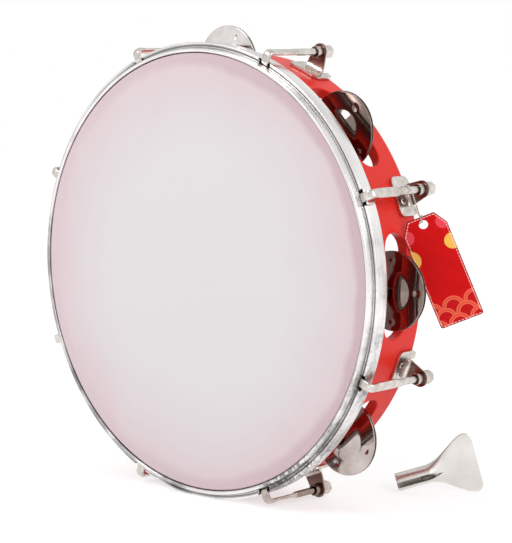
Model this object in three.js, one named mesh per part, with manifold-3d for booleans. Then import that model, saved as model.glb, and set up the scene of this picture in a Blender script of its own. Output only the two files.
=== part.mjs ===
// Tunable frame tambourine, standing upright on its two lowest lugs.
// Millimetres, +Z up. The origin is the middle of the drumhead's face, which faces -Y; +X is to its right.
// Each lug and slot is built at the top of the drum: X runs round the rim, Y front to back, Z outwards.
import * as THREE from 'three';
import { mergeVertices } from 'three/addons/utils/BufferGeometryUtils.js';
import Module from 'manifold-3d';

const wasm = await Module();
wasm.setup();

// Clearances and the fineness of round pieces
const seatGap = 0.3;
const cutOverrun = 4;
const ringSides = 48;
const jingleSides = 18;
const smallSides = 12;
const fineSides = 8;
const cornerSteps = 2;

// Wooden shell
const shellRadius = 125.5;
const shellWall = 6.5;
const shellDepth = 49.45;
const shellEdgeRound = 1.4;
const lugCount = 8;

// Drumhead film and the flesh hoop it is tucked round
const filmThickness = 0.25;
const fleshHoopWidth = 4.5;
const fleshHoopDepth = 3;
const filmTail = 2.7;

// Counterhoop: a proud inner bead, a shelf with a slot for each claw and an outer band
const lipProud = 1;
const hoopClearance = 0.95;
const beadWidth = 2.5;
const beadRound = 0.9;
const bandSetback = 3.5;
const bandThickness = 1.2;
const bandDepth = 8.6;
const shelfWidth = 1.9;
const shelfSink = 0.7;
const slotFloor = 1.2;
const clawSlotDepth = 4.9;
const clawSlotWidth = 8;
const notchWidth = 9;
const notchDepth = 2.2;

// Tension hooks
const rodStandoff = 4.9;
const rodRadius = 2;
const stripWidth = 5.6;
const stripThickness = 2;
const stripLength = 22.5;
const stripTaper = 5;
const noseWidth = 6.2;
const noseBulge = 1.2;
const clawBend = 2.6;
const tipBend = 1.2;
const tipThickness = 1.3;
const tipReach = 3.4;
const rodInNut = 10.5;

// Barrel nuts with hexagonal heads
const sleeveWall = 1;
const sleeveProud = 4;
const washerRadius = 4.3;
const washerThickness = 0.9;
const hexFlats = 7;
const hexLength = 5.5;
const nutEndWall = 1.5;

// Sheet brackets, each with an ear bent up for the nut, and their rivets
const sheetThickness = 1.5;
const plateWidth = 23;
const plateFrontLength = 9.6;
const plateRearLength = 3.2;
const plateCorner = 3.5;
const earThickness = 1.8;
const earBaseWidth = 12.5;
const earEndRadius = 4.9;
const earSetback = 1.6;
const rivetSpacing = 6.4;
const rivetShank = 1.1;
const rivetHead = 1.8;
const rivetHeadHeight = 0.7;
const rivetInset = 5;
const backingWidth = 12.5;
const backingLength = 5.5;
const backingThickness = 1.1;

// Jingles on their pins; there is no pair between the two lugs at the bottom, where the hand goes
const jingleRadius = 22.2;
const jingleThickness = 0.6;
const jingleHole = 3.9;
const jingleDomeRadius = 10.5;
const jingleDomeHeight = 3.4;
const jingleCone = 1;
const jingleCrownRadius = 6.6;
const jinglePairGap = 0.6;
const pairLooseness = 0.5;
const pinRadius = 1.2;
const pinSeat = 6;
const slotEndRoom = 4.9;
const slotWidth = 18;
const slotSetback = 28.75;

// Hang tag, its thread and how it hangs from the hook to the right of the top
const tagWidth = 25.2;
const tagLength = 65.5;
const tagThickness = 0.6;
const tagCorner = 4.8;
const tagShoulderDrop = 8;
const tagFootRound = 1.5;
const tagHoleRadius = 2.6;
const tagHoleInset = 4.6;
const tagYaw = 42.7;
const tagTilt = 22.6;
const tagLean = 13;
const tagHoleOut = 5.3;
const tagHoleBack = 7.5;
const tagHoleDrop = 18.8;
const threadRadius = 0.35;
const threadAhead = 8;

// Tuning key, standing on the floor behind and to the right
const keyTubeRadius = 5.4;
const keyTubeLength = 20;
const keySocketFlats = 7.6;
const keySocketDepth = 17;
const keySlitWidth = 3.4;
const keySlitDrop = 1.1;
const keySlitRunOut = 4;
const keyLength = 49.3;
const keyWingHalf = 18.1;
const keyWingThickness = 2;
const keyRight = 76.4;
const keyBack = 90.6;
const keyYaw = 42.7;

// Places worked out from the sizes above
const degrees = Math.PI / 180;
const shellFront = filmThickness + seatGap;
const shellRear = shellFront + shellDepth;
const shellInner = shellRadius - shellWall;
const filmInner = shellRadius + seatGap;
const filmOuter = filmInner + filmThickness;
const hoopInner = filmOuter + hoopClearance;
const beadOuter = hoopInner + beadWidth;
const bandInner = beadOuter + shelfWidth;
const bandOuter = bandInner + bandThickness;
const bandFront = bandSetback - lipProud;
const bandRear = bandFront + bandDepth;
const shelfFront = bandFront + shelfSink;
const clawSlotBottom = bandFront + clawSlotDepth;
const floorRear = clawSlotBottom + slotFloor;
const fleshFront = floorRear + seatGap;
const fleshRear = fleshFront + fleshHoopDepth;
const fleshInner = filmOuter + seatGap;
const rodCircle = bandOuter + rodStandoff;
const plateInner = shellRadius + seatGap;
const plateOuter = plateInner + sheetThickness;
const earRear = shellRear - earSetback;
const earFront = earRear - earThickness;
const rivetLine = earFront - rivetInset;
const sleeveRadius = rodRadius + seatGap + sleeveWall;
const sleeveFront = earFront - sleeveProud;
const washerFront = earRear + seatGap;
const hexFront = washerFront + washerThickness;
const hexRear = hexFront + hexLength;
const pinCircle = shellRadius - shellWall / 2;
const jingleSag = jingleHole - pinRadius - seatGap;
const jingleHeight = jingleThickness + jingleCone + jingleDomeHeight;
const pairRoom = slotWidth / 2 - jinglePairGap / 2 - jingleHeight - pairLooseness;
const slotMiddle = shellFront + slotSetback;
const pinFront = slotMiddle - slotWidth / 2 - pinSeat;
const slotLength = 2 * (jingleRadius + jingleSag + slotEndRoom);
const lugStep = 360 / lugCount;
const floorHeight = -(rodCircle * Math.cos(lugStep / 2 * degrees) + earEndRadius);
const flatShare = Math.cos(Math.PI / ringSides);

// Colours and finishes
const red = new THREE.MeshStandardMaterial({ color: 0xd8402f, roughness: 0.3, metalness: 0 });
const film = new THREE.MeshStandardMaterial({ color: 0xe3e0e3, roughness: 0.45, metalness: 0 });
const galvanised = new THREE.MeshStandardMaterial({ color: 0xc4c6c8, roughness: 0.4, metalness: 0.9 });
const plated = new THREE.MeshStandardMaterial({ color: 0xb4aaa4, roughness: 0.25, metalness: 1 });
const bright = new THREE.MeshStandardMaterial({ color: 0xc8c4c2, roughness: 0.15, metalness: 1 });
const hoopWire = new THREE.MeshStandardMaterial({ color: 0x9a9da0, roughness: 0.5, metalness: 0.9 });
const card = new THREE.MeshStandardMaterial({ color: 0xc8101c, roughness: 0.5, metalness: 0 });
const thread = new THREE.MeshStandardMaterial({ color: 0x8a8078, roughness: 0.9, metalness: 0 });

const tambourine = new THREE.Group();

// A closed mesh becomes a solid that can be cut and joined
function solidOf(geometry) {
  const bare = geometry.clone();
  bare.deleteAttribute('normal');
  bare.deleteAttribute('uv');
  const merged = mergeVertices(bare);
  const triVerts = Uint32Array.from(merged.index.array);
  const vertProperties = Float32Array.from(merged.attributes.position.array);
  return new wasm.Manifold(new wasm.Mesh({ numProp: 3, vertProperties, triVerts }));
}

// A solid becomes a mesh again
function geometryOf(solid) {
  const mesh = solid.getMesh();
  const geometry = new THREE.BufferGeometry();
  geometry.setAttribute('position', new THREE.BufferAttribute(mesh.vertProperties, 3));
  geometry.setIndex(new THREE.BufferAttribute(mesh.triVerts, 1));
  geometry.computeVertexNormals();
  return geometry;
}

// Adds one named piece to its parent
function addPiece(parent, name, geometry, material) {
  const piece = new THREE.Mesh(geometry, material);
  piece.name = name;
  parent.add(piece);
  return piece;
}

// A group turned about the drum's axis, clockwise from the top as the head is seen
function aroundDrum(angle) {
  const group = new THREE.Group();
  group.rotation.y = angle * degrees;
  tambourine.add(group);
  return group;
}

// A ring about the drum's axis from a closed outline of [radius, depth] points
function ringGeometry(outline, sides) {
  const points = outline.map(([radius, depth]) => new THREE.Vector2(radius, depth));
  points.push(points[0].clone());
  return new THREE.LatheGeometry(points, sides);
}

// A prism of a flat outline, with its low and high ends on the local Z axis
function prism(shape, low, high, curveSegments = cornerSteps) {
  const settings = { depth: high - low, bevelEnabled: false, curveSegments };
  const geometry = new THREE.ExtrudeGeometry(shape, settings);
  return geometry.translate(0, 0, low);
}

// A round bar along Y between two depths
function barAlongY(radius, front, rear, sides) {
  const geometry = new THREE.CylinderGeometry(radius, radius, rear - front, sides);
  return geometry.translate(0, (front + rear) / 2, 0);
}

// A rectangle with four rounded corners
function roundedRectangle(left, right, low, high, corner) {
  const shape = new THREE.Shape();
  shape.absarc(right - corner, high - corner, corner, 0, Math.PI / 2);
  shape.absarc(left + corner, high - corner, corner, Math.PI / 2, Math.PI);
  shape.absarc(left + corner, low + corner, corner, Math.PI, 3 * Math.PI / 2);
  shape.absarc(right - corner, low + corner, corner, 3 * Math.PI / 2, 2 * Math.PI);
  return shape;
}

// A closed skin over a row of closed sections, each a list of the same number of points
function loft(sections) {
  const count = sections[0].length;
  const positions = sections.flat().flatMap((point) => point.toArray());
  const faces = [];
  for (let row = 0; row + 1 < sections.length; row += 1) {
    for (let side = 0; side < count; side += 1) {
      const next = (side + 1) % count;
      const a = row * count + side;
      const b = row * count + next;
      faces.push(a, b, b + count, a, b + count, a + count);
    }
  }
  const last = (sections.length - 1) * count;
  for (let side = 1; side + 1 < count; side += 1) {
    faces.push(0, side + 1, side);
    faces.push(last, last + side, last + side + 1);
  }
  const geometry = new THREE.BufferGeometry();
  geometry.setAttribute('position', new THREE.Float32BufferAttribute(positions, 3));
  geometry.setIndex(faces);
  geometry.computeVertexNormals();
  return geometry;
}

// Angles of the slots, skipping the plain stretch at the bottom
function slotAngles() {
  const angles = [];
  for (let place = 0; place < lugCount; place += 1) {
    if (place !== lugCount / 2) {
      angles.push(place * lugStep);
    }
  }
  return angles;
}

// Angles of the lugs, starting to the right of the top
function lugAngles() {
  return Array.from({ length: lugCount }, (_, place) => (place + 1 / 2) * lugStep);
}

// Centres of a bracket's two rivets in the lug's own frame
function rivetPlaces() {
  return [[-rivetSpacing / 2, rivetLine], [rivetSpacing / 2, rivetLine]];
}

// A short round bar that points outwards at one rivet
function rivetBar([across, along], radius, low, high, sides) {
  const bar = barAlongY(radius, low, high, sides).rotateX(Math.PI / 2);
  return bar.translate(across, along, 0);
}

// The shell: a ring with rounded edges, a round-ended slot for each pair, and holes for pins and rivets
function shellGeometry() {
  const round = shellEdgeRound;
  const outline = [
    [shellInner, shellFront + round], [shellInner + round, shellFront],
    [shellRadius - round, shellFront], [shellRadius, shellFront + round],
    [shellRadius, shellRear - round / 2], [shellRadius - round / 2, shellRear],
    [shellInner + round / 2, shellRear], [shellInner, shellRear - round / 2],
  ];
  let shell = solidOf(ringGeometry(outline, ringSides));
  const slotFront = slotMiddle - slotWidth / 2;
  const slotShape = roundedRectangle(
    -slotLength / 2, slotLength / 2, slotFront, slotFront + slotWidth, slotWidth / 2);
  const cutLow = shellInner - shellWall;
  const cutHigh = shellRadius + cutOverrun;
  for (const angle of slotAngles()) {
    const slot = prism(slotShape, cutLow, cutHigh);
    const pinHole = barAlongY(pinRadius + seatGap, pinFront - seatGap, shellRear + cutOverrun, fineSides);
    pinHole.translate(0, 0, pinCircle);
    shell = shell.subtract(solidOf(slot.rotateY(angle * degrees)));
    shell = shell.subtract(solidOf(pinHole.rotateY(angle * degrees)));
  }
  for (const angle of lugAngles()) {
    for (const place of rivetPlaces()) {
      const hole = rivetBar(place, rivetShank + seatGap, cutLow, cutHigh, fineSides);
      shell = shell.subtract(solidOf(hole.rotateY(angle * degrees)));
    }
  }
  return geometryOf(shell);
}

// The film: a flat disc whose edge turns back over the outside of the shell
function filmGeometry() {
  const outline = [
    [0, 0], [filmOuter, 0], [filmOuter, fleshFront + filmTail],
    [filmInner, fleshFront + filmTail], [filmInner, filmThickness], [0, filmThickness],
  ];
  const points = outline.map(([radius, depth]) => new THREE.Vector2(radius, depth));
  return new THREE.LatheGeometry(points, ringSides);
}

// The flesh hoop: a square ring round the film's turned-back edge
function fleshHoopGeometry() {
  const outer = fleshInner + fleshHoopWidth;
  return ringGeometry([
    [fleshInner, fleshFront], [outer, fleshFront], [outer, fleshRear], [fleshInner, fleshRear],
  ], ringSides);
}

// The counterhoop, with a notch in its outer band and a slot in its shelf for each claw
function counterhoopGeometry() {
  const outline = [
    [hoopInner, beadRound - lipProud], [hoopInner + beadRound, -lipProud],
    [beadOuter - beadRound, -lipProud], [beadOuter, beadRound - lipProud],
    [beadOuter, shelfFront], [bandInner, shelfFront], [bandInner, bandFront],
    [bandOuter, bandFront], [bandOuter, bandRear], [bandInner, bandRear],
    [bandInner, floorRear], [hoopInner, floorRear],
  ];
  let hoop = solidOf(ringGeometry(outline, ringSides));
  const slotRing = solidOf(ringGeometry([
    [beadOuter, bandFront], [bandInner, bandFront],
    [bandInner, clawSlotBottom], [beadOuter, clawSlotBottom],
  ], ringSides));
  const slotShape = roundedRectangle(
    -clawSlotWidth / 2, clawSlotWidth / 2, bandFront - cutOverrun, clawSlotBottom + cutOverrun, cutOverrun / 2);
  const notchRear = bandFront + notchDepth;
  const notchShape = roundedRectangle(
    -notchWidth / 2, notchWidth / 2, bandFront - cutOverrun, notchRear, notchDepth / 2);
  for (const angle of lugAngles()) {
    const notch = prism(notchShape, bandInner - shelfWidth / 2, bandOuter + cutOverrun, 1);
    const clawSlot = prism(slotShape, hoopInner, bandOuter, 1).rotateY(angle * degrees);
    hoop = hoop.subtract(solidOf(notch.rotateY(angle * degrees)));
    hoop = hoop.subtract(slotRing.intersect(solidOf(clawSlot)));
  }
  return geometryOf(hoop);
}

// One section of a hook: a rounded strip across its path, which slopes in the plane of Y and Z
function hookSection(depth, radius, slope, width, thickness, bulge = 0) {
  const section = [];
  for (let side = 0; side < fineSides; side += 1) {
    const turn = 2 * Math.PI * side / fineSides;
    const across = width / 2 * Math.cos(turn);
    const off = thickness / 2 * Math.sin(turn) + bulge * Math.max(0, Math.sin(turn));
    section.push(new THREE.Vector3(across, depth + off * Math.sin(slope), radius + off * Math.cos(slope)));
  }
  return section;
}

// A tension hook: a round rod flattened to a strip with a bulging nose, bent in and back into the hoop
function hookGeometry() {
  const noseMiddle = bandFront + notchDepth - seatGap - stripThickness / 2;
  const tipCircle = (beadOuter + bandInner) / 2;
  const stripRear = noseMiddle + clawBend + stripLength;
  const stripFront = noseMiddle + clawBend + noseWidth / 2;
  const halfPi = Math.PI / 2;
  const sections = [
    hookSection(sleeveFront + rodInNut, rodCircle, 0, 2 * rodRadius, 2 * rodRadius),
    hookSection(stripRear, rodCircle, 0, 2 * rodRadius, 2 * rodRadius),
    hookSection(stripRear - stripTaper, rodCircle, 0, stripWidth, stripThickness),
    hookSection(stripFront, rodCircle, 0, stripWidth, stripThickness),
  ];
  const bendSteps = 4;
  for (let step = 0; step <= bendSteps; step += 1) {
    const slope = halfPi * step / bendSteps;
    const depth = noseMiddle + clawBend - clawBend * Math.sin(slope);
    const radius = rodCircle - clawBend + clawBend * Math.cos(slope);
    const bulge = noseBulge * Math.cos(slope);
    sections.push(hookSection(depth, radius, -slope, noseWidth, stripThickness, bulge));
  }
  for (let step = 0; step <= bendSteps; step += 1) {
    const slope = halfPi * step / bendSteps;
    const depth = noseMiddle + tipBend - tipBend * Math.cos(slope);
    const radius = tipCircle + tipBend - tipBend * Math.sin(slope);
    const thickness = stripThickness + (tipThickness - stripThickness) * step / bendSteps;
    sections.push(hookSection(depth, radius, -halfPi - slope, stripWidth, thickness));
  }
  sections.push(hookSection(noseMiddle + tipReach, tipCircle, -Math.PI, stripWidth, tipThickness));
  return loft(sections);
}

// A barrel nut: a sleeve through the ear, a washer face and a hexagonal head, with a blind bore for the rod
function nutGeometry() {
  const sleeve = solidOf(barAlongY(sleeveRadius, sleeveFront, hexFront, smallSides));
  const washer = solidOf(barAlongY(washerRadius, washerFront, hexFront + seatGap, smallSides));
  const hexRadius = hexFlats / Math.sqrt(3);
  const head = solidOf(barAlongY(hexRadius, hexFront, hexRear, 6));
  const boreFront = sleeveFront - cutOverrun;
  const bore = solidOf(barAlongY(rodRadius + seatGap, boreFront, hexRear - nutEndWall, smallSides));
  return geometryOf(sleeve.add(washer).add(head).subtract(bore));
}

// A bracket: a plate that follows the shell, cut away behind the ear that is bent up from it
function bracketGeometry() {
  const plateFront = earFront - plateFrontLength;
  const plateRear = earRear + plateRearLength;
  const blank = ringGeometry([
    [plateInner, plateFront], [plateOuter, plateFront], [plateOuter, plateRear], [plateInner, plateRear],
  ], ringSides);
  const plateShape = roundedRectangle(-plateWidth / 2, plateWidth / 2, plateFront, plateRear, plateCorner);
  const plateCut = prism(plateShape, shellInner, plateOuter + cutOverrun, 1);
  const tongueShape = new THREE.Shape();
  tongueShape.moveTo(-earBaseWidth / 2, earRear);
  tongueShape.lineTo(earBaseWidth / 2, earRear);
  tongueShape.lineTo(earBaseWidth / 2, plateRear + cutOverrun);
  tongueShape.lineTo(-earBaseWidth / 2, plateRear + cutOverrun);
  const tongue = prism(tongueShape, shellInner, plateOuter + cutOverrun);
  const foot = plateInner + sheetThickness / 2;
  const earShape = new THREE.Shape();
  earShape.moveTo(-earBaseWidth / 2, -foot);
  earShape.lineTo(-earEndRadius, -rodCircle);
  earShape.absarc(0, -rodCircle, earEndRadius, Math.PI, 2 * Math.PI);
  earShape.lineTo(earBaseWidth / 2, -foot);
  const ear = prism(earShape, earFront, earRear, 3).rotateX(-Math.PI / 2);
  const nutHole = barAlongY(sleeveRadius + seatGap, earFront - cutOverrun, earRear + cutOverrun, smallSides);
  nutHole.translate(0, 0, rodCircle);
  let bracket = solidOf(blank).intersect(solidOf(plateCut)).subtract(solidOf(tongue));
  bracket = bracket.add(solidOf(ear)).subtract(solidOf(nutHole));
  for (const place of rivetPlaces()) {
    const hole = rivetBar(place, rivetShank + seatGap, shellInner, plateOuter + cutOverrun, fineSides);
    bracket = bracket.subtract(solidOf(hole));
  }
  return geometryOf(bracket);
}

// Two rivets clenched on one backing strip inside the shell
function rivetPairGeometry() {
  const innerFlat = shellInner * flatShare;
  const backingTop = Math.sqrt(innerFlat ** 2 - (backingWidth / 2) ** 2) - seatGap;
  const backingFront = rivetLine - backingLength / 2;
  const backingShape = roundedRectangle(
    -backingWidth / 2, backingWidth / 2, backingFront, backingFront + backingLength, backingLength / 2);
  let pair = solidOf(prism(backingShape, backingTop - backingThickness, backingTop, 1));
  const headMiddle = plateOuter + seatGap + rivetHeadHeight / 2;
  for (const place of rivetPlaces()) {
    const shank = rivetBar(place, rivetShank, backingTop - backingThickness / 2, headMiddle, fineSides);
    const dome = new THREE.CylinderGeometry(rivetHead / 2, rivetHead, rivetHeadHeight, fineSides);
    dome.rotateX(Math.PI / 2).translate(place[0], place[1], headMiddle);
    pair = pair.add(solidOf(shank)).add(solidOf(dome));
  }
  return geometryOf(pair);
}

// A jingle: a shallow cone with a raised, pierced dome; side is -1 with the dome to the front, 1 to the rear
function jingleGeometry(side) {
  const thick = jingleThickness;
  const domeFoot = thick + jingleCone;
  const domeTop = domeFoot + jingleDomeHeight;
  const crownInner = jingleCrownRadius - thick;
  const outline = [
    [jingleRadius, 0], [jingleRadius, thick], [jingleDomeRadius, domeFoot],
    [jingleCrownRadius, domeTop - thick], [jingleHole + thick, domeTop],
    [jingleHole, domeTop], [jingleHole, domeTop - thick],
    [crownInner, domeTop - 2 * thick], [jingleDomeRadius - thick, domeFoot - thick],
  ];
  const placed = outline.map(([radius, height]) => [radius, side * height]);
  return ringGeometry(side > 0 ? placed : placed.reverse(), jingleSides);
}

// Shell, head and hoops
addPiece(tambourine, 'shell', shellGeometry(), red);
addPiece(tambourine, 'drumhead', filmGeometry(), film);
addPiece(tambourine, 'flesh_hoop', fleshHoopGeometry(), hoopWire);
addPiece(tambourine, 'counterhoop', counterhoopGeometry(), galvanised);

// Tension hook, nut, bracket and rivets at each lug
lugAngles().forEach((angle, place) => {
  const lug = aroundDrum(angle);
  const number = place + 1;
  addPiece(lug, `tension_hook_${number}`, hookGeometry(), plated);
  addPiece(lug, `tension_nut_${number}`, nutGeometry(), plated).position.z = rodCircle;
  addPiece(lug, `bracket_${number}`, bracketGeometry(), plated);
  addPiece(lug, `bracket_rivets_${number}`, rivetPairGeometry(), plated);
});

// Where each pair has come to lie along its pin, as a share of its room to the front (-) or the rear (+)
const pairLieShares = [-0.7, -0.7, -0.15, 0.7, 0.3, -0.4, 0.2];

// A pin and two jingles in each slot; the jingles hang on the pin, so they sit below its middle
slotAngles().forEach((angle, place) => {
  const number = place + 1;
  const across = pinCircle * Math.sin(angle * degrees);
  const up = pinCircle * Math.cos(angle * degrees);
  const pinBar = barAlongY(pinRadius, pinFront, shellRear, smallSides);
  const pin = addPiece(tambourine, `jingle_pin_${number}`, pinBar, bright);
  pin.position.set(across, 0, up);
  const pairMiddle = slotMiddle + pairLieShares[place] * pairRoom;
  const front = addPiece(tambourine, `jingle_front_${number}`, jingleGeometry(-1), bright);
  front.position.set(across, pairMiddle - jinglePairGap / 2, up - jingleSag);
  const rear = addPiece(tambourine, `jingle_rear_${number}`, jingleGeometry(1), bright);
  rear.position.set(across, pairMiddle + jinglePairGap / 2, up - jingleSag);
});

// Where the thread loops over the rod of the second hook
const tagLug = 3 / 2 * lugStep * degrees;
const threadDepth = sleeveFront - threadAhead;
const hangPoint = new THREE.Vector3(rodCircle * Math.sin(tagLug), threadDepth, rodCircle * Math.cos(tagLug));

// The tag: a card with cut corners at the top, a round hole and rounded corners at the bottom
function tagGeometry() {
  const half = tagWidth / 2;
  const top = tagHoleInset;
  const bottom = tagHoleInset - tagLength;
  const foot = tagFootRound;
  const shape = new THREE.Shape();
  shape.moveTo(-half, top - tagShoulderDrop);
  shape.lineTo(-half, bottom + foot);
  shape.absarc(foot - half, bottom + foot, foot, Math.PI, 3 * Math.PI / 2);
  shape.absarc(half - foot, bottom + foot, foot, 3 * Math.PI / 2, 2 * Math.PI);
  shape.lineTo(half, top - tagShoulderDrop);
  shape.lineTo(half - tagCorner, top);
  shape.lineTo(tagCorner - half, top);
  const hole = new THREE.Path();
  hole.absarc(0, 0, tagHoleRadius, 0, 2 * Math.PI, true);
  shape.holes.push(hole);
  return prism(shape, -tagThickness / 2, tagThickness / 2, 4);
}

// The tag faces forwards and to the right, tilted, with its lower end back and one edge against the shell
const tagPlace = new THREE.Group();
tagPlace.position.set(hangPoint.x + tagHoleOut, hangPoint.y + tagHoleBack, hangPoint.z - tagHoleDrop);
tagPlace.rotation.set(Math.PI / 2 + tagLean * degrees, 0, tagYaw * degrees, 'ZXY');
tambourine.add(tagPlace);
const tag = addPiece(tagPlace, 'hang_tag', tagGeometry(), card);
tag.rotation.z = tagTilt * degrees;

// The thread's route, measured from the hang point: up behind the tag, through its hole, over the rod and back down
const threadRoute = [
  [2.4, 8.1, -23.6], [2.0, 7.2, -21.1], [2.7, 6.9, -18.6], [4.6, 6.5, -17.6], [6.0, 5.8, -16.8], [5.7, 5.2, -15.8],
  [5.4, 4.5, -14.2], [4.5, 2.8, -9.0], [3.5, 1.2, -4.0], [2.8, 0.3, -0.4], [2.1, 0.0, 1.9], [0.0, -0.2, 2.8],
  [-2.1, -0.3, 1.9], [-2.8, -0.3, -0.4], [-1.4, 1.2, -4.0], [1.2, 3.4, -9.0], [3.7, 6.1, -14.0],
  [4.2, 7.1, -15.8], [4.3, 7.7, -17.1],
];

// The thread: one open tube along that route
function threadGeometry() {
  const points = threadRoute.map(([x, y, z]) => new THREE.Vector3(x, y, z));
  const path = new THREE.CatmullRomCurve3(points, false, 'centripetal');
  const section = new THREE.Shape();
  section.absarc(0, 0, threadRadius, 0, 2 * Math.PI);
  const settings = { steps: 30, curveSegments: fineSides / 2, extrudePath: path, bevelEnabled: false };
  return new THREE.ExtrudeGeometry(section, settings);
}
addPiece(tambourine, 'tag_thread', threadGeometry(), thread).position.copy(hangPoint);

// One oval section of the key across its length
function keySection(along, half, thickness) {
  const section = [];
  const count = 2 * fineSides;
  for (let side = 0; side < count; side += 1) {
    const turn = 2 * Math.PI * side / count;
    section.push(new THREE.Vector3(along, half * Math.cos(turn), thickness / 2 * Math.sin(turn)));
  }
  return section;
}

// Shares of the flare's length, of its added half width and of its lost thickness, from the tube to the end
const widestShare = 0.86;
const flareShares = [
  [0, 0, 1], [0.1, 0.05, 0.8], [0.23, 0.17, 0.55], [0.35, 0.36, 0.28], [0.48, 0.56, 0.1], [0.6, 0.75, 0],
  [0.7, 0.9, 0], [0.8, 0.99, 0], [widestShare, 1, 0], [0.93, 0.96, 0], [0.975, 0.86, 0], [1, 0.73, 0],
];

// The key: a rolled tube, open along a slit, with a six-sided socket, flattened and flared into a wing
function keyGeometry() {
  const sections = [keySection(0, keyTubeRadius, 2 * keyTubeRadius)];
  for (const [alongShare, widthShare, roundShare] of flareShares) {
    const along = keyTubeLength + (keyLength - keyTubeLength) * alongShare;
    const half = keyTubeRadius + (keyWingHalf - keyTubeRadius) * widthShare;
    const thickness = keyWingThickness + (2 * keyTubeRadius - keyWingThickness) * roundShare;
    sections.push(keySection(along, half, thickness));
  }
  const socketRadius = keySocketFlats / Math.sqrt(3);
  const socket = new THREE.CylinderGeometry(socketRadius, socketRadius, keySocketDepth + cutOverrun, 6);
  socket.rotateZ(Math.PI / 2).translate((keySocketDepth - cutOverrun) / 2, 0, 0);
  const slitLength = keyTubeLength + keySlitRunOut + cutOverrun;
  const slit = new THREE.BoxGeometry(slitLength, keySlitWidth, 2 * keyTubeRadius);
  slit.translate(slitLength / 2 - cutOverrun, -keySlitDrop, keyTubeRadius + seatGap);
  return geometryOf(solidOf(loft(sections)).subtract(solidOf(socket)).subtract(solidOf(slit)));
}

// The key stands on the rim of its tube and on the lower corner of its wing
const widestAlong = keyTubeLength + (keyLength - keyTubeLength) * widestShare;
const keySlope = Math.atan2(keyWingHalf - keyTubeRadius, widestAlong);
const keyPlace = new THREE.Group();
keyPlace.position.set(keyRight, keyBack, floorHeight + keyTubeRadius * Math.cos(keySlope));
keyPlace.rotation.set(0, 0, keyYaw * degrees);
tambourine.add(keyPlace);
const key = addPiece(keyPlace, 'tuning_key', keyGeometry(), bright);
key.rotation.set(Math.PI / 2, -keySlope, 0, 'YXZ');

export default tambourine;
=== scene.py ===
import math

import bmesh
import bpy
import numpy as np
from mathutils import Matrix, Vector


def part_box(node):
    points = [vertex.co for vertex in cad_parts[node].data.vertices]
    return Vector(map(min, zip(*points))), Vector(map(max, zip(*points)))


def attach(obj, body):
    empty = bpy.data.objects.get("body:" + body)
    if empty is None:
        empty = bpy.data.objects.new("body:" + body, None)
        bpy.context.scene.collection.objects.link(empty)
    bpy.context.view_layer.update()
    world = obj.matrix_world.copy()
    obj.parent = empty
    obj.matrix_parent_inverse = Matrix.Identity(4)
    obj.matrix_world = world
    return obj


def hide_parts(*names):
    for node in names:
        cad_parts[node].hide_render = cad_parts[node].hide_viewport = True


# Looks of a tunable frame tambourine. Sizes here are in millimetres, the drum faces -Y and +Z is up.
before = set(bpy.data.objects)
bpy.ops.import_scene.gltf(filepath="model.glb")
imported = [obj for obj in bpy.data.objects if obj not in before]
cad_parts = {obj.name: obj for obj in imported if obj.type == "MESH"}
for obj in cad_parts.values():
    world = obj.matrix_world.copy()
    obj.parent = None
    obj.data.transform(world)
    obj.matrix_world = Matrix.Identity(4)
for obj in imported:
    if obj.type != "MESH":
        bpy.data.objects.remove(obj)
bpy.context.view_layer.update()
print("frame loaded with", len(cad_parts), "nodes")

cameraView = dict(place=(809.87, -826.01, 140.70), azimuth=42.7356, elevation=6.8947, lens=133.7)


def addCamera(view):
    # back points from the drum to the camera: (sin a cos e, -cos a cos e, sin e)
    a, e = math.radians(view["azimuth"]), math.radians(view["elevation"])
    back = Vector((math.sin(a) * math.cos(e), -math.cos(a) * math.cos(e), math.sin(e)))
    right = Vector((math.cos(a), math.sin(a), 0))
    up = back.cross(right)
    camera = bpy.data.objects.new("camera", bpy.data.cameras.new("camera"))
    bpy.context.scene.collection.objects.link(camera)
    turn = Matrix((right, up, back)).transposed().to_4x4()
    camera.matrix_world = Matrix.Translation(Vector(view["place"]) / 1000) @ turn
    camera.data.lens = view["lens"]
    camera.data.clip_start = 0.05
    bpy.context.scene.camera = camera


addCamera(cameraView)
bpy.context.scene.view_settings.view_transform = "Standard"


def linear(hexColour):
    # an sRGB hex value as the linear colour that a shader socket takes
    level = np.array([int(hexColour[k:k + 2], 16) for k in (1, 3, 5)]) / 255
    level = np.where(level <= 0.04045, level / 12.92, ((level + 0.055) / 1.055) ** 2.4)
    return tuple(level.tolist()) + (1.0,)


def addNode(tree, kind, inputs=None, **settings):
    # A node with its settings. An input is linked when it is given an output, and set when it is given a
    # value.
    node = tree.nodes.new("ShaderNode" + kind)
    for name, value in settings.items():
        setattr(node, name, value)
    for name, value in (inputs or {}).items():
        if isinstance(value, bpy.types.NodeSocket):
            tree.links.new(value, node.inputs[name])
        else:
            node.inputs[name].default_value = value
    return node


def maths(tree, operation, *values):
    return addNode(tree, "Math", dict(enumerate(values)), operation=operation).outputs[0]


def vectorMaths(tree, operation, *values):
    node = addNode(tree, "VectorMath", dict(enumerate(values)), operation=operation)
    return node.outputs["Vector" if operation == "MULTIPLY" else "Value"]


def ranged(tree, value, fromMin, fromMax, toMin=0.0, toMax=1.0):
    # a value carried evenly from one range to another and held at the ends
    inputs = {"Value": value, "From Min": fromMin, "From Max": fromMax, "To Min": toMin, "To Max": toMax}
    return addNode(tree, "MapRange", inputs).outputs["Result"]


def noise(tree, vector, scale, detail, roughness=0.5):
    inputs = {"Vector": vector, "Scale": scale, "Detail": detail, "Roughness": roughness}
    return addNode(tree, "TexNoise", inputs).outputs["Fac"]


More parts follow.
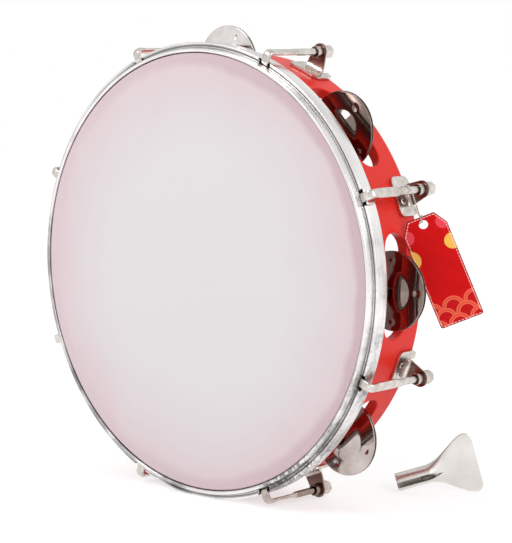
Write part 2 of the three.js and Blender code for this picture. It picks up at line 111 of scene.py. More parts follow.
def colourRamp(tree, share, *stops):
    # a colour that runs through the sRGB hex values at their positions
    node = addNode(tree, "ValToRGB", {"Fac": share})
    ramp = node.color_ramp.elements
    while len(ramp) < len(stops):
        ramp.new(1.0)
    for element, (position, hexColour) in zip(ramp, stops):
        element.position = position
        element.color = linear(hexColour)
    return node.outputs["Color"]


def paintOver(tree, below, mask, hexColour):
    # lays one colour over what is below it, as far as the mask lets it
    return addNode(tree, "Mix", {0: mask, 6: below, 7: linear(hexColour)}, data_type="RGBA").outputs[2]


def bumped(tree, height, strength, distance):
    inputs = {"Height": height, "Strength": strength, "Distance": distance}
    return addNode(tree, "Bump", inputs).outputs["Normal"]


def objectPlace(tree):
    # the place in metres, as one output and as its three parts
    place = addNode(tree, "TexCoord").outputs["Object"]
    return place, addNode(tree, "SeparateXYZ", {"Vector": place}).outputs


def fromAxis(tree, place):
    # the distance from the drum's axis, the square root of x^2 + z^2
    return vectorMaths(tree, "LENGTH", vectorMaths(tree, "MULTIPLY", place, (1, 0, 1)))


def farFrom(tree, value, middle):
    return maths(tree, "ABSOLUTE", maths(tree, "SUBTRACT", value, middle))


def newMaterial(name):
    material = bpy.data.materials.new(name)
    material.use_nodes = True
    material.node_tree.nodes.clear()
    return material, material.node_tree


def coverWith(tree, inputs):
    shader = addNode(tree, "BsdfPrincipled", inputs)
    addNode(tree, "OutputMaterial", {"Surface": shader.outputs["BSDF"]})


def aroundDrum(points, angle):
    # turned clockwise about the drum's axis, as the head is seen: x = x cos + z sin, z = z cos - x sin
    a = math.radians(angle)
    x, y, z = points[..., 0], points[..., 1], points[..., 2]
    return np.stack([x * math.cos(a) + z * math.sin(a), y, z * math.cos(a) - x * math.sin(a)], -1)


def gridFaces(rows, columns, wrapRows=False, wrapColumns=False):
    # one quad between each pair of neighbouring rows and columns of points numbered row by row
    i = np.arange(rows if wrapRows else rows - 1)[:, None]
    j = np.arange(columns if wrapColumns else columns - 1)[None, :]
    nextI, nextJ = (i + 1) % rows, (j + 1) % columns
    row, nextRow = i * columns, nextI * columns
    corners = np.broadcast_arrays(row + j, row + nextJ, nextRow + nextJ, nextRow + j)
    return np.stack(corners, -1).reshape(-1, 4)


def gridSurface(points, wrapRows=False, wrapColumns=False):
    return points.reshape(-1, 3), gridFaces(points.shape[0], points.shape[1], wrapRows, wrapColumns)


def joined(surfaces):
    # several surfaces as one list of points and one of faces
    counts = np.cumsum([0] + [len(surface[0]) for surface in surfaces])
    points = np.concatenate([surface[0] for surface in surfaces])
    faces = np.concatenate([surface[1] + start for surface, start in zip(surfaces, counts)])
    return points, faces


def makePiece(name, surface, body, replaced, material, sharp=40, maps=None):
    # a mesh object in metres that rides on a body and stands for its nodes
    points, faces = surface
    mesh = bpy.data.meshes.new(name)
    mesh.from_pydata((points / 1000).tolist(), [], faces.tolist())
    for mapName, places in (maps or {}).items():
        layer = mesh.uv_layers.new(name=mapName)
        layer.data.foreach_set("uv", places[faces.reshape(-1)].astype(np.float32).reshape(-1))
    work = bmesh.new()
    work.from_mesh(mesh)
    bmesh.ops.remove_doubles(work, verts=work.verts, dist=2e-6)
    bmesh.ops.dissolve_degenerate(work, edges=work.edges, dist=1e-7)
    bmesh.ops.recalc_face_normals(work, faces=work.faces)
    work.to_mesh(mesh)
    work.free()
    mesh.shade_smooth()
    mesh.set_sharp_from_angle(angle=math.radians(sharp))
    mesh.materials.append(material)
    piece = bpy.data.objects.new(name, mesh)
    bpy.context.scene.collection.objects.link(piece)
    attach(piece, body)
    if replaced:
        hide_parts(*replaced)
    return piece


def unit(vectors):
    return vectors / np.linalg.norm(vectors, axis=-1, keepdims=True)


def roundCorners(corners, radii, steps=6):
    # Each corner P of a closed outline becomes an arc between P + t u and P + t v, where u and v point to
    # its neighbours and t = radius / tan(half the corner's angle). The arc is the rational curve with that
    # half's sine.
    corner = np.asarray(corners, float)
    radii = np.broadcast_to(np.asarray(radii, float), len(corner))
    u, v = unit(np.roll(corner, 1, 0) - corner), unit(np.roll(corner, -1, 0) - corner)
    half = np.arccos(np.clip((u * v).sum(1), -1, 1)) / 2
    t = (radii / np.tan(half))[:, None, None]
    weight = np.sin(half)[:, None, None]
    s = np.linspace(0, 1, steps + 1)[None, :, None]
    start, middle, end = corner[:, None] + t * u[:, None], corner[:, None], corner[:, None] + t * v[:, None]
    shares = (1 - s) ** 2, 2 * s * (1 - s) * weight, s ** 2
    arc = (shares[0] * start + shares[1] * middle + shares[2] * end) / sum(shares)
    return arc.reshape(-1, 2)


def smoothShare(low, high, value):
    share = np.clip((value - low) / (high - low), 0, 1)
    return share * share * (3 - 2 * share)


def aboutAxis(radius, depth, turn):
    # (r sin a, depth, r cos a)
    return np.stack(np.broadcast_arrays(radius * np.sin(turn), depth, radius * np.cos(turn)), -1)


def turned(profile, turns):
    # a profile of [radius, depth] at each angle about the drum's axis
    return aboutAxis(profile[..., 0], profile[..., 1], turns[:, None])


def wholeTurn(count):
    return np.arange(count) * 2 * np.pi / count


lugAngles = [(k + 0.5) * 45 for k in range(8)]
slotAngles = [k * 45 for k in range(8) if k != 4]

# Nylon thread: drawn monofilament, pale and slightly see-through with a soft shine
threadNylon, tree = newMaterial("drawn nylon thread")
place, parts = objectPlace(tree)
tint = colourRamp(tree, noise(tree, place, 900.0, 2.0), (0.35, "#B4ADA6"), (0.65, "#EFEAE5"))
coverWith(tree, {"Base Color": tint, "Roughness": 0.25, "IOR": 1.53, "Transmission Weight": 0.3})

thread = dict(hangPoint=(127.03, 34.6, 52.62), radius=0.35, route=[(2.4, 8.1, -23.6), (2.0, 7.2, -21.1),
              (2.7, 6.9, -18.6), (4.6, 6.5, -17.6), (6.0, 5.8, -16.8), (5.7, 5.2, -15.8), (5.4, 4.5, -14.2),
              (4.5, 2.8, -9.0), (3.5, 1.2, -4.0), (2.8, 0.3, -0.4), (2.1, 0.0, 1.9), (0.0, -0.2, 2.8),
              (-2.1, -0.3, 1.9), (-2.8, -0.3, -0.4), (-1.4, 1.2, -4.0), (1.2, 3.4, -9.0), (3.7, 6.1, -14.0),
              (4.2, 7.1, -15.8), (4.3, 7.7, -17.1)], knotPlace=(4.7, 6.6, -14.6), knotRadius=0.95)


def smoothPath(points, steps):
    # a Catmull-Rom curve through the points: each stretch is a cubic of its two ends and their two
    # neighbours
    p = np.asarray(points, float)
    p = np.concatenate([2 * p[:1] - p[1:2], p, 2 * p[-1:] - p[-2:-1]])
    before, start, end, after = p[:-3, None], p[1:-2, None], p[2:-1, None], p[3:, None]
    s = np.linspace(0, 1, steps, endpoint=False)[None, :, None]
    curve = 0.5 * (2 * start + (end - before) * s + (2 * before - 5 * start + 4 * end - after) * s ** 2
                   + (3 * start - before - 3 * end + after) * s ** 3)
    return np.concatenate([curve.reshape(-1, 3), p[-2:-1]])


def addThread(values):
    line = (smoothPath(values["route"], 8) + np.array(values["hangPoint"])) / 1000
    curve = bpy.data.curves.new("tag thread line", "CURVE")
    curve.dimensions = "3D"
    spline = curve.splines.new("POLY")
    spline.points.add(len(line) - 1)
    spline.points.foreach_set("co", np.concatenate([line, np.ones((len(line), 1))], 1).reshape(-1))
    curve.bevel_depth = values["radius"] / 1000
    curve.bevel_resolution = 3
    curve.use_fill_caps = True
    curve.materials.append(threadNylon)
    piece = bpy.data.objects.new("tag_thread_line", curve)
    bpy.context.scene.collection.objects.link(piece)
    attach(piece, "tag")
    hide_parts("tag_thread")
    return piece, line


def knotSurface(values):
    # a small overhand knot: a trefoil line (sin t + 2 sin 2t, cos t - 2 cos 2t, -sin 3t) with a round
    # section
    t = np.linspace(0, 2 * np.pi, 73)[:-1]
    line = np.stack([np.sin(t) + 2 * np.sin(2 * t), -np.sin(3 * t), np.cos(t) - 2 * np.cos(2 * t)], -1)
    line *= values["knotRadius"] / 3
    along = unit(np.roll(line, -1, 0) - np.roll(line, 1, 0))
    side = unit(np.cross(along, line + [0.001, 0.002, 0.003]))
    over = np.cross(along, side)
    turn = wholeTurn(10)
    ring = side[:, None] * np.cos(turn)[None, :, None] + over[:, None] * np.sin(turn)[None, :, None]
    points = line[:, None] + ring * values["radius"] * 0.9
    return gridSurface(points + np.add(values["hangPoint"], values["knotPlace"]), True, True)


threadPiece, threadLine = addThread(thread)
knotPiece = makePiece("tag_thread_knot", knotSurface(thread), "tag", (), threadNylon)

# Red lacquer over bent plywood: sprayed and rubbed, so it is glossy and even, with a glued seam across the
# bend
redLacquer, tree = newMaterial("red lacquer on bent plywood")
place, parts = objectPlace(tree)
turn = maths(tree, "ARCTAN2", parts["X"], parts["Z"])
along = maths(tree, "MULTIPLY", turn, 0.012)
grainPlace = addNode(tree, "CombineXYZ", {"X": along, "Y": parts["Y"]}).outputs[0]
grain = noise(tree, grainPlace, 520.0, 4.0, 0.6)
cloud = noise(tree, place, 28.0, 2.0)
tint = colourRamp(tree, maths(tree, "ADD", grain, cloud), (0.6, "#DA1C0F"), (1.0, "#E22416"))
seam = ranged(tree, farFrom(tree, turn, math.radians(128)), 0.0008, 0.0035, 0.6, 0.0)
coverWith(tree, {
    "Base Color": paintOver(tree, tint, seam, "#7A0A05"), "Roughness": 0.42, "IOR": 1.45,
    "Specular IOR Level": 0.35, "Coat Weight": 0.12, "Coat Roughness": 0.12,
    "Normal": bumped(tree, noise(tree, place, 420.0, 1.0), 0.05, 0.0003)})

shell = dict(radius=125.5, wall=6.5, front=0.55, rear=50.0, frontRound=1.5, rearRound=0.8, sectorArc=22.5,
             slotHalf=29.5, slotRadius=9.0, slotMiddle=29.3, slotRound=0.7)


def sectorSamples(s):
    # arc lengths across an eighth of the shell, finer where the slot's ends turn, and depths up its side
    half = s["radius"] * math.radians(s["sectorArc"])
    straight = s["slotHalf"] - s["slotRadius"]
    across = np.concatenate([np.linspace(-half, -straight, 15)[:-1],
                             np.linspace(-straight, straight, 27)[:-1],
                             np.linspace(straight, half, 15)])
    depth = np.linspace(s["front"] + s["frontRound"], s["rear"] - s["rearRound"], 23)
    return across, depth


def slotSector(s):
    # The border of the sector is a rectangle. Each border point P has a partner on the slot, c + r (P -
    # c)/|P - c|, where c is P's nearest point on the slot's middle line. Rows run from the border to the
    # slot on the outside, round its edge, through the wall, round the inner edge and back to the border on
    # the inside.
    outer, inner = s["radius"], s["radius"] - s["wall"]
    across, depth = sectorSamples(s)
    straight = s["slotHalf"] - s["slotRadius"]
    sides = (across, depth[0]), (across[-1], depth), (across[::-1], depth[-1]), (across[0], depth[::-1])
    border = np.concatenate([np.stack(np.broadcast_arrays(x, y), -1)[:-1] for x, y in sides])
    centre = np.stack([np.clip(border[:, 0], -straight, straight), np.full(len(border), s["slotMiddle"])],
                      -1)
    away = unit(border - centre)
    edge = s["slotRound"]
    ring = centre + (s["slotRadius"] + edge) * away
    shares = np.linspace(0, 1, 10)[:, None]

    def surfaceRows(radius):
        turn = border[:, 0] / outer + (np.arcsin(ring[:, 0] / radius) - border[:, 0] / outer) * shares
        y = border[:, 1] + (ring[:, 1] - border[:, 1]) * shares
        return aboutAxis(radius, y, turn)

    def edgeRows(radius, sign):
        a = np.linspace(0, np.pi / 2, 6)[1:, None]
        gap = s["slotRadius"] + edge * (1 - np.sin(a))
        x, y = (centre[:, k] + gap * away[:, k] for k in (0, 1))
        return np.stack([x, y, np.sqrt(radius ** 2 - x ** 2) - sign * edge * (1 - np.cos(a))], -1)

    rows = [surfaceRows(outer), edgeRows(outer, 1), edgeRows(inner, -1)[::-1], surfaceRows(inner)[::-1]]
    return gridSurface(np.concatenate(rows), wrapColumns=True)


def plainSector(s):
    # both faces of a sector without a slot
    across, depth = sectorSamples(s)
    turn, y = np.meshgrid(across / s["radius"], depth, indexing="ij")
    radii = s["radius"], s["radius"] - s["wall"]
    return joined([gridSurface(aboutAxis(radius, y, turn)) for radius in radii])


def shellEdge(s, rear):
    # the quarter-round outer edge, the flat and the quarter-round inner edge at the front or the rear
    across, depth = sectorSamples(s)
    outer, inner = s["radius"], s["radius"] - s["wall"]
    soft = s["rearRound"] if rear else s["frontRound"]
    start, sign = (depth[-1], 1) if rear else (depth[0], -1)
    a = np.linspace(0, np.pi / 2, 7)
    first = np.stack([outer - soft + soft * np.cos(a), start + sign * soft * np.sin(a)], -1)
    flat = np.stack([np.linspace(outer - soft, inner + soft, 5)[1:-1], np.full(3, start + sign * soft)], -1)
    last = np.stack([inner + soft - soft * np.sin(a), start + sign * soft * np.cos(a)], -1)
    return gridSurface(turned(np.concatenate([first, flat, last]), across / outer))


def shellSurface(s):
    parts = []
    for angle in range(0, 360, 45):
        sector = slotSector(s) if angle in slotAngles else plainSector(s)
        for points, faces in (sector, shellEdge(s, False), shellEdge(s, True)):
            parts.append((aroundDrum(points, angle), faces))
    return joined(parts)


makePiece("lacquered_shell", shellSurface(shell), "drum", ["shell"], redLacquer)
print("shell made")

# Polyester film: cast, with a milky frosted coat. Towards its rim it is painted pinker, and at the shell's
# edge pinker again on the right, as painted glow of the red shell seen through it
headFilm, tree = newMaterial("milky coated polyester film")
place, parts = objectPlace(tree)
reach = fromAxis(tree, place)
drift = maths(tree, "SUBTRACT", noise(tree, place, 22.0, 3.0), 0.5)
# Painted glow: the film is painted pinker towards its rim, for the red shell seen through it
share = ranged(tree, maths(tree, "MULTIPLY_ADD", drift, 0.03, reach), 0.07, 0.119)
tint = colourRamp(tree, share, (0.0, "#DED9DA"), (0.5, "#DCD4D7"), (1.0, "#DBC9CD"))
# Painted glow at the shell's edge, stronger on the right, for the red shell seen through the film
behind = ranged(tree, maths(tree, "MULTIPLY_ADD", drift, 0.012, reach), 0.1175, 0.1215)
side = vectorMaths(tree, "DOT_PRODUCT", place, (0.9, 0, 0.2))
paintedShellGlow = maths(tree, "MULTIPLY", behind, ranged(tree, side, -0.1, 0.1, 0.1, 0.65))
coverWith(tree, {
    "Base Color": paintOver(tree, tint, paintedShellGlow, "#C3A5AC"), "Roughness": 0.5, "IOR": 1.5, "Alpha": 0.97,
    "Normal": bumped(tree, noise(tree, place, 1400.0, 2.0), 0.05, 0.0002)})

head = dict(front=126.5, outer=126.05, thickness=0.25, collarTop=5.5, collarFoot=8.4, skirt=11.6, bend=0.6)


def headSurface(s):
    # the half outline of disc and skirt, turned about the axis; extra radii keep the disc's faces short
    r, thick, collar, foot = s["front"], s["thickness"], s["collarTop"], s["collarFoot"]
    outline = roundCorners([
        (0, 0), (r, 0), (r, collar), (s["outer"], foot), (s["outer"], s["skirt"]),
        (s["outer"] - thick, s["skirt"]), (s["outer"] - thick, foot), (r - thick, collar),
        (r - thick, thick), (0, thick)], [0, s["bend"], 2, 2, 0.1, 0.1, 2, 2, s["bend"] - thick, 0], 6)
    inside = np.linspace(0, r - s["bend"], 9)[:, None]
    front, back = np.hstack([inside, inside * 0]), np.hstack([inside[::-1], inside * 0 + thick])
    outline = np.concatenate([front, outline[7:-7], back])
    return gridSurface(turned(outline, wholeTurn(240)), True, True)


makePiece("head_film_disc", headSurface(head), "drum", ["drumhead"], headFilm)

# Zinc-coated steel strip: rolled bright, with fine lines along it, and painted shade in the corners of its
# section and in the claws' slots. It was welded and ground at the lower right, and around the weld its grey
# parts have lost their shine. Its lower left is painted grey as painted shade.
zincSteel, tree = newMaterial("zinc-coated rolled steel")
place, parts = objectPlace(tree)
reach = fromAxis(tree, place)
along = maths(tree, "MULTIPLY", maths(tree, "ARCTAN2", parts["X"], parts["Z"]), 0.008)
rolled = addNode(tree, "CombineXYZ", {"X": along, "Y": parts["Y"], "Z": reach}).outputs[0]
level = maths(tree, "MULTIPLY_ADD", noise(tree, rolled, 900.0, 3.0), 0.5, noise(tree, place, 45.0, 3.0))
scratch = noise(tree, place, 380.0, 4.0, 0.7)
toWeld = vectorMaths(tree, "DISTANCE", place, (0.074, 0.004, -0.109))
ground = maths(tree, "MULTIPLY", ranged(tree, toWeld, 0.012, 0.032, 1.0, 0.0),
               ranged(tree, scratch, 0.4, 0.65, 0.0, 0.5))
lowRight = vectorMaths(tree, "DOT_PRODUCT", place, (0.82, 0, -0.57))
mottled = maths(tree, "MULTIPLY", ranged(tree, lowRight, 0.085, 0.125),
                ranged(tree, scratch, 0.3, 0.7, 0.02, 0.3))
lowLeft = vectorMaths(tree, "DOT_PRODUCT", place, (-0.82, 0, -0.57))
# The ground patch and the mottle are wear; the grey towards the lower left is painted shade
for wearAndShade in (ground, mottled, ranged(tree, lowLeft, 0.05, 0.09, 0.0, 0.34)):
    level = maths(tree, "SUBTRACT", level, wearAndShade)
colour = colourRamp(tree, level, (0.3, "#8D8C8C"), (0.6, "#E6E4E3"), (0.9, "#F8F6F4"))
# Painted shade, #3A3434: dark lines in the corner of the section behind the bead and inside the claws' slots
offLine = farFrom(tree, reach, 0.1306)
cornerShade = maths(tree, "MULTIPLY", ranged(tree, offLine, 0.0004, 0.0008, 0.75, 0.0),
                 ranged(tree, parts["Y"], 0.0026, 0.003))
slotShade = maths(tree, "MULTIPLY", ranged(tree, offLine, 0.0009, 0.0011, 1.0, 0.0),
               ranged(tree, farFrom(tree, parts["Y"], 0.0057), 0.0017, 0.0023, 1.0, 0.0))
coverWith(tree, {
    "Base Color": paintOver(tree, colour, maths(tree, "MAXIMUM", cornerShade, slotShade), "#3A3434"),
    "Metallic": 1.0, "Roughness": ranged(tree, level, 0.3, 0.8, 0.42, 0.22),
    "Normal": bumped(tree, level, 0.12, 0.0002)})

hoop = dict(inner=127.0, beadFront=128.95, beadFoot=129.75, bandInner=131.4, bandOuter=132.6, front=-1.0,
            bandFront=2.5, bandRear=11.1, shelf=3.2, floorRear=8.6, notchHalf=4.5, notchDepth=2.2,
            clawSlotHalf=4.0, clawSlotDepth=4.2, fineHalf=5.4, soft=0.35)


def hoopSurface(s):
    # The rolled section turned about the axis. At each lug the shelf between bead and band drops to a slot
    # for the claw, and the band's front edge is set back.
    steps = 5
    outline = roundCorners([
        (s["inner"], s["front"]), (s["beadFront"], s["front"]), (s["beadFoot"], s["shelf"]),
        (s["bandInner"], s["shelf"]), (s["bandInner"], s["bandFront"]), (s["bandOuter"], s["bandFront"]),
        (s["bandOuter"], s["bandRear"]), (s["bandInner"], s["bandRear"]), (s["bandInner"], s["floorRear"]),
        (s["inner"], s["floorRear"])], [1.0, 0.85, 0.3, 0.3, 0.3, 0.45, 0.5, 0.4, 0.3, 0.5], steps)
    fine = np.linspace(-s["fineHalf"], s["fineHalf"], 37) / s["bandOuter"]
    turns = [wholeTurn(480)] + [np.radians(angle) + fine for angle in lugAngles]
    turns = np.unique(np.round(np.concatenate(turns), 5))
    apart = np.abs((np.degrees(turns) % 45) - 22.5) * np.pi / 180 * s["bandOuter"]
    corner = np.arange(len(outline)) // (steps + 1)
    profile = np.repeat(outline[None], len(turns), 0)
    for half, drop, first in ((s["clawSlotHalf"], s["clawSlotDepth"], 2),
                              (s["notchHalf"], s["notchDepth"], 4)):
        window = smoothShare(-half - s["soft"], -half + s["soft"], -apart)
        moved = (corner == first) | (corner == first + 1)
        profile[:, :, 1] += window[:, None] * drop * moved[None]
    return gridSurface(turned(profile, turns), True, True)


makePiece("counterhoop_ring", hoopSurface(hoop), "drum", ["counterhoop"], zincSteel)

# Drawn steel wire of the flesh hoop, plain and slightly dull
drawnSteel, tree = newMaterial("plain drawn steel")
place, parts = objectPlace(tree)
dull = ranged(tree, noise(tree, place, 300.0, 4.0), 0.0, 1.0, 0.25, 0.5)
coverWith(tree, {"Base Color": linear("#A5A4A3"), "Metallic": 1.0, "Roughness": dull})

flesh = dict(inner=126.35, outer=130.85, front=8.95, rear=11.85, soft=1.2)


def fleshSurface(s):
    outline = roundCorners([(s["inner"], s["front"]), (s["outer"], s["front"]),
                            (s["outer"], s["rear"]), (s["inner"], s["rear"])], s["soft"], 5)
    return gridSurface(turned(outline, wholeTurn(240)), True, True)


makePiece("flesh_hoop_wire", fleshSurface(flesh), "drum", ["flesh_hoop"], drawnSteel)
print("head and hoops made")

# Nickel plate over steel: barrel-polished and dipped, bright with a warm cast, handled and a little smudged.
# Thin dark lines in the nuts' corners and the dark brown in front of the brackets' ears are painted shade.
def nickelFinish(name, low, high, darkBands):
    # the dark bands in the list are painted shade on the nuts and ears, and a brown band on one lug; each
    # gives the radius in metres from which it lies, its two depths, its strength and its colour
    material, tree = newMaterial(name)
    place, parts = objectPlace(tree)
    reach = fromAxis(tree, place)
    smudge = noise(tree, place, 160.0, 4.0, 0.6)
    colour = colourRamp(tree, smudge, (0.3, low), (0.7, high))
    for radius, fromDepth, toDepth, strength, ink in darkBands:
        half = (toDepth - fromDepth) / 2
        off = farFrom(tree, parts["Y"], (fromDepth + toDepth) / 2)
        mask = maths(tree, "MULTIPLY", ranged(tree, reach, radius - 0.0004, radius + 0.0008),
                     ranged(tree, off, half, half + 0.00012, strength, 0.0))
        colour = paintOver(tree, colour, mask, ink)
    coverWith(tree, {
        "Base Color": colour, "Metallic": 1.0, "Roughness": ranged(tree, smudge, 0.3, 0.7, 0.3, 0.18),
        "Normal": bumped(tree, smudge, 0.05, 0.0002)})
    return material


# Painted shade: thin dark lines at the steps between the nuts' sleeve, washer and head
nutCreaseShade = [(0.1, 0.0425, 0.0427, 0.7, "#4A3A34"), (0.1, 0.0487, 0.0488, 0.8, "#4A3A34"),
           (0.1, 0.0495, 0.0497, 0.8, "#4A3A34")]
nickelPlate = nickelFinish("barrel-polished nickel plate", "#BFB6AE", "#E9E4DF", nutCreaseShade)
# The fourth lug's hook and nut take a darker, browner copy of the plate, with a brown band from the rod's
# taper to the nut's washer
brownPlate = nickelFinish("darker brown nickel plate", "#A99C94", "#D9D0C9", [
    (0.1, 0.0265, 0.0486, 0.65, "#7A5C54")] + nutCreaseShade)
# The ears are painted dark brown in front, as painted shade and painted dark reflection of the shaded shell
nickelSheet = nickelFinish("nickel-plated bracket sheet", "#BFB6AE", "#E9E4DF",
                           [(0.1288, 0.044, 0.0474, 0.9, "#6E4A42")])

hook = dict(rodCircle=137.5, rodEnd=52.6, rodRadius=2.0, taperRear=28.5, taperFront=23.5, stripFront=9.1,
            stripHalf=2.8, stripThick=1.0, endRound=0.5, noseMiddle=3.4, noseHalf=2.55, noseBulge=0.6,
            bend=2.6, tipCircle=130.45, tipBend=1.2, tipHalf=2.3, tipThick=0.65, tipEnd=6.8)


def hookSurface(s):
    # A section carried along the hook's middle line. Each row has a place (depth, radius), a lean, half a
    # width, half a thickness and a squareness n; the section is (a cos^(2/n), b sin^(2/n)), and the nose
    # bulges outwards.
    rod = s["rodCircle"]
    y = np.concatenate([np.linspace(s["rodEnd"], s["taperRear"], 8),
                        np.linspace(s["taperRear"], s["taperFront"], 11)[1:],
                        np.linspace(s["taperFront"], s["noseMiddle"] + s["bend"], 14)[1:]])
    flat = 1 - smoothShare(s["taperFront"], s["taperRear"], y)
    nose = 1 - smoothShare(s["noseMiddle"] + s["bend"], s["stripFront"] + 1.5, y)
    wide = s["rodRadius"] + (s["stripHalf"] - s["rodRadius"]) * flat + (s["noseHalf"] - s["stripHalf"]) * nose
    thick = s["rodRadius"] + (s["stripThick"] - s["rodRadius"]) * flat
    straight = np.stack([y, 0 * y + rod, 0 * y, wide, thick, 2 + 2.5 * flat, s["noseBulge"] * nose], -1)
    a = np.linspace(0, np.pi / 2, 12)[1:]
    one = np.ones_like(a)
    bend = np.stack([s["noseMiddle"] + s["bend"] * (1 - np.sin(a)), rod - s["bend"] * (1 - np.cos(a)), -a,
                     s["noseHalf"] * one, s["stripThick"] * one, 4.5 * one, s["noseBulge"] * np.cos(a)], -1)
    share = a / a[-1]
    tipWide = s["noseHalf"] + (s["tipHalf"] - s["noseHalf"]) * share
    tipThick = s["stripThick"] + (s["tipThick"] - s["stripThick"]) * share
    tip = np.stack([s["noseMiddle"] + s["tipBend"] * (1 - np.cos(a)),
                    s["tipCircle"] + s["tipBend"] * (1 - np.sin(a)),
                    -np.pi / 2 - a, tipWide, tipThick, 4.5 * one, 0 * one], -1)
    last = tip[-1:].copy()
    last[0, 0] = s["tipEnd"] - s["tipThick"]
    rows = np.concatenate([straight, bend, tip, last])
    a = np.linspace(0, np.pi / 2, 5)[1:]
    startCap, endCap = np.repeat(rows[:1], 4, 0), np.repeat(rows[-1:], 4, 0)
    startCap[:, 0] += s["endRound"] * np.sin(a)
    endCap[:, 0] += s["tipThick"] * np.sin(a)
    startCap[:, 3:5] *= np.cos(a)[:, None]
    endCap[:, 3:5] *= np.cos(a)[:, None]
    depth, radius, lean, wide, thick, square, bulge = np.concatenate([startCap[::-1], rows, endCap]).T[:, :,
                                                                                                       None]
    turn = wholeTurn(40)[None]
    c, d = np.cos(turn), np.sin(turn)
    across = wide * np.sign(c) * np.abs(c) ** (2 / square)
    off = thick * np.sign(d) * np.abs(d) ** (2 / square)
    off = off + bulge * np.maximum(0, d) * (1 - 0.55 * c * c)
    points = np.stack([across, depth + off * np.sin(lean), radius + off * np.cos(lean)], -1)
    return gridSurface(points, False, True)


nut = dict(circle=137.5, flats=7.0, profile=[(0, 53.6, 0), (2.3, 53.6, 0), (2.3, 42.85, 0), (2.5, 42.6, 0),
           (3.1, 42.6, 0), (3.3, 42.8, 0), (3.3, 48.7, 0), (4.1, 48.7, 0), (4.3, 48.85, 0), (4.3, 49.45, 0),
           (4.15, 49.6, 0), (3.5, 49.62, 1), (4.1, 49.7, 1), (4.1, 54.7, 1), (3.75, 55.05, 1),
           (3.4, 55.1, 1), (1.5, 55.1, 0), (1.2, 54.95, 0), (0, 54.9, 0)])


def nutSurface(s):
    # rows of [radius, depth] about the rod; on the head's rows the radius is at most flats / 2 / cos(angle
    # to flat)
    profile = np.array(s["profile"], float)
    turn = wholeTurn(96)
    flat = s["flats"] / 2 / np.cos(np.mod(turn, np.pi / 3) - np.pi / 6)
    radius = np.where(profile[:, 2:3] > 0, np.minimum(flat, profile[:, :1]), profile[:, :1])
    points = aboutAxis(radius, profile[:, 1:2], turn) + [0, 0, s["circle"]]
    return gridSurface(points, False, True)


bracket = dict(sheet=1.5, middle=126.55, half=11.5, earHalf=6.25, front=37.0, rear=51.6, corner=3.5,
               earDepth=47.5, bend=1.9, rodCircle=137.5, holeRadius=3.6, earEnd=4.9, soft=0.3)


def bracketPlate(s):
    # A grid over the plate, bent round the shell. The outer columns move in by c - sqrt(c^2 - t^2) at the
    # corners. No faces lie where the ear was cut free and bent up.
    earStart = s["earDepth"] - s["bend"]
    inset = np.linspace(0, s["corner"], 7)
    y = np.unique(np.concatenate([s["front"] + inset, np.linspace(s["front"] + s["corner"], earStart, 5),
                                  [earStart], s["rear"] - inset]))
    near = np.clip(s["corner"] - np.minimum(y - s["front"], s["rear"] - y), 0, s["corner"])
    half = s["half"] - (s["corner"] - np.sqrt(s["corner"] ** 2 - near ** 2))
    share = np.linspace(0, 1, 7)[1:]
    middle = np.linspace(-s["earHalf"], s["earHalf"], 17)
    right = s["earHalf"] + (half[:, None] - s["earHalf"]) * share
    x = np.concatenate([-right[:, ::-1], np.repeat(middle[None], len(y), 0), right], 1)
    points = np.stack([x, np.repeat(y[:, None], x.shape[1], 1), np.sqrt(s["middle"] ** 2 - x ** 2)], -1)
    surface, faces = gridSurface(points)
    centre = surface[faces].mean(1)
    keep = (np.abs(centre[:, 0]) > s["earHalf"]) | (centre[:, 1] < earStart)
    return surface, faces[keep]


def bracketEar(s):
    # The strip turns up through a quarter circle; then the ear runs from its outline to the nut's hole,
    # where each outline point has its partner c + r (P - c)/|P - c| on the hole.
    middle = np.linspace(-s["earHalf"], s["earHalf"], 17)
    a = np.linspace(0, np.pi / 2, 8)[:, None]
    base = np.sqrt(s["middle"] ** 2 - middle ** 2)[None]
    top = s["middle"] + s["bend"]
    rise = s["bend"] * (1 - np.cos(a))
    share = 1 - np.cos(a)
    z = (base + rise) * (1 - share) + top * share
    strip = np.stack(np.broadcast_arrays(middle[None], s["earDepth"] - s["bend"] * (1 - np.sin(a)), z), -1)
    side = np.linspace(0, 1, 9)[1:, None]
    low, high = np.array([s["earHalf"], top]), np.array([s["earEnd"], s["rodCircle"]])
    rightSide = low + (high - low) * side
    arc = np.linspace(0, np.pi, 25)[1:-1]
    crown = np.stack([s["earEnd"] * np.cos(arc), s["rodCircle"] + s["earEnd"] * np.sin(arc)], -1)
    leftSide = (rightSide * [-1, 1])[::-1]
    lowSide = np.stack([middle, np.full_like(middle, top)], -1)
    outline = np.concatenate([lowSide, rightSide, crown, leftSide])
    centre = np.array([0, s["rodCircle"]])
    hole = centre + s["holeRadius"] * unit(outline - centre)
    t = np.linspace(0, 1, 6)[:, None, None]
    flat = outline * (1 - t) + hole * t
    ear = np.stack([flat[..., 0], np.full(flat.shape[:2], s["earDepth"]), flat[..., 1]], -1)
    return joined([gridSurface(strip), gridSurface(ear, False, True)])


rivets = dict(spacing=6.4, depth=41.6, seat=127.32, headRadius=1.8, headHeight=0.5, backing=118.35,
              backingHalf=6.25, backingRadius=2.75, backingThick=1.1, clenchRadius=1.7, clenchHeight=0.7)


def domeSurface(radius, height, place, sign=1):
    # a low dome with a small upright rim: radius cos t and height sin t, closed underneath
    t = np.linspace(0, np.pi / 2, 9)
    reach = np.concatenate([[0, radius], radius * (0.94 + 0.06 * np.cos(t[:1])),
                            radius * np.cos(t[1:]) ** 0.9])
    rise = np.concatenate([[0, 0], [0.18 * height], height * (0.18 + 0.82 * np.sin(t[1:]))])
    turn = wholeTurn(28)[None]
    x, y = reach[:, None] * np.cos(turn), reach[:, None] * np.sin(turn)
    points = np.stack([x, y, sign * rise[:, None] + 0 * turn], -1) + np.asarray(place)
    return gridSurface(points, False, True)


